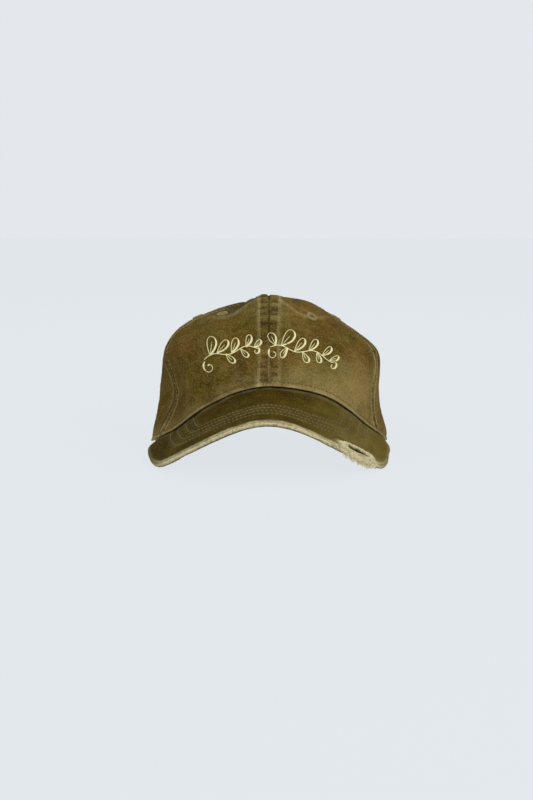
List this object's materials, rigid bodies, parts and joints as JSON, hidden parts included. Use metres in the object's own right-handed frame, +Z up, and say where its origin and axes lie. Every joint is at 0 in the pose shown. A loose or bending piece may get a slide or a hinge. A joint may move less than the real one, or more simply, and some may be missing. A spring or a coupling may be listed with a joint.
{
  "type": "baseball cap",
  "caption": "Soft low-profile baseball cap: six-panel washed-twill crown, long arched visor, embroidered front, rear opening with strap and cam buckle.",
  "frame": {"origin": "bottom centre of the whole cap as it stands on its rim and visor tips", "axes": "+Z up; -Y is the way the cap faces, so the visor points along -Y; +X is the wearer's left"},
  "size_m": [0.176, 0.2592, 0.1135],
  "materials": {
    "crown_twill": "washed cotton twill",
    "visor_twill": "washed cotton twill",
    "strap_twill": "washed cotton twill",
    "tape_cotton": "cotton seam binding",
    "sweatband_cotton": "brushed cotton",
    "embroidery_thread": "satin stitch",
    "eyelet_thread": "buttonhole stitch",
    "label_ribbon": "blank woven ribbon",
    "visor_plastic": "matte",
    "button_metal": "satin",
    "aged_brass": "aged satin"
  },
  "bodies": {
    "cap": {"back_panel_left": "crown_twill", "back_panel_right": "crown_twill", "buckle_frame": "aged_brass", "buckle_pin": "aged_brass", "buckle_tab": "strap_twill", "button_stem": "button_metal", "eyelet_back_left": "eyelet_thread", "eyelet_back_right": "eyelet_thread", "eyelet_front_left": "eyelet_thread", "eyelet_front_right": "eyelet_thread", "eyelet_side_left": "eyelet_thread", "eyelet_side_right": "eyelet_thread", "front_embroidery": "embroidery_thread", "front_panel_left": "crown_twill", "front_panel_right": "crown_twill", "inside_label": "label_ribbon", "rear_arch_binding": "crown_twill", "seam_tape_back": "tape_cotton", "seam_tape_front": "tape_cotton", "seam_tape_front_left": "tape_cotton", "seam_tape_front_right": "tape_cotton", "seam_tape_rear_left": "tape_cotton", "seam_tape_rear_right": "tape_cotton", "side_panel_left": "crown_twill", "side_panel_right": "crown_twill", "strap": "strap_twill", "sweatband": "sweatband_cotton", "top_button": "crown_twill", "visor_board": "visor_plastic", "visor_top_cloth": "visor_twill", "visor_under_cloth": "visor_twill"},
    "tail": {"strap_tail": "strap_twill"},
    "lever": {"buckle_lever": "aged_brass"}
  },
  "joints": [
    {"name": "strap_slide", "type": "hinge", "parent": "cap", "child": "tail", "pos_m": [0, 0.05249, 0.0135], "axis": [0, 0, -1], "range_deg": [0, 16]},
    {"name": "lever_hinge", "type": "hinge", "parent": "cap", "child": "lever", "pos_m": [0.02431, 0.12457, 0.0135], "axis": [0, 0, -1], "range_deg": [0, 110]}
  ]
}
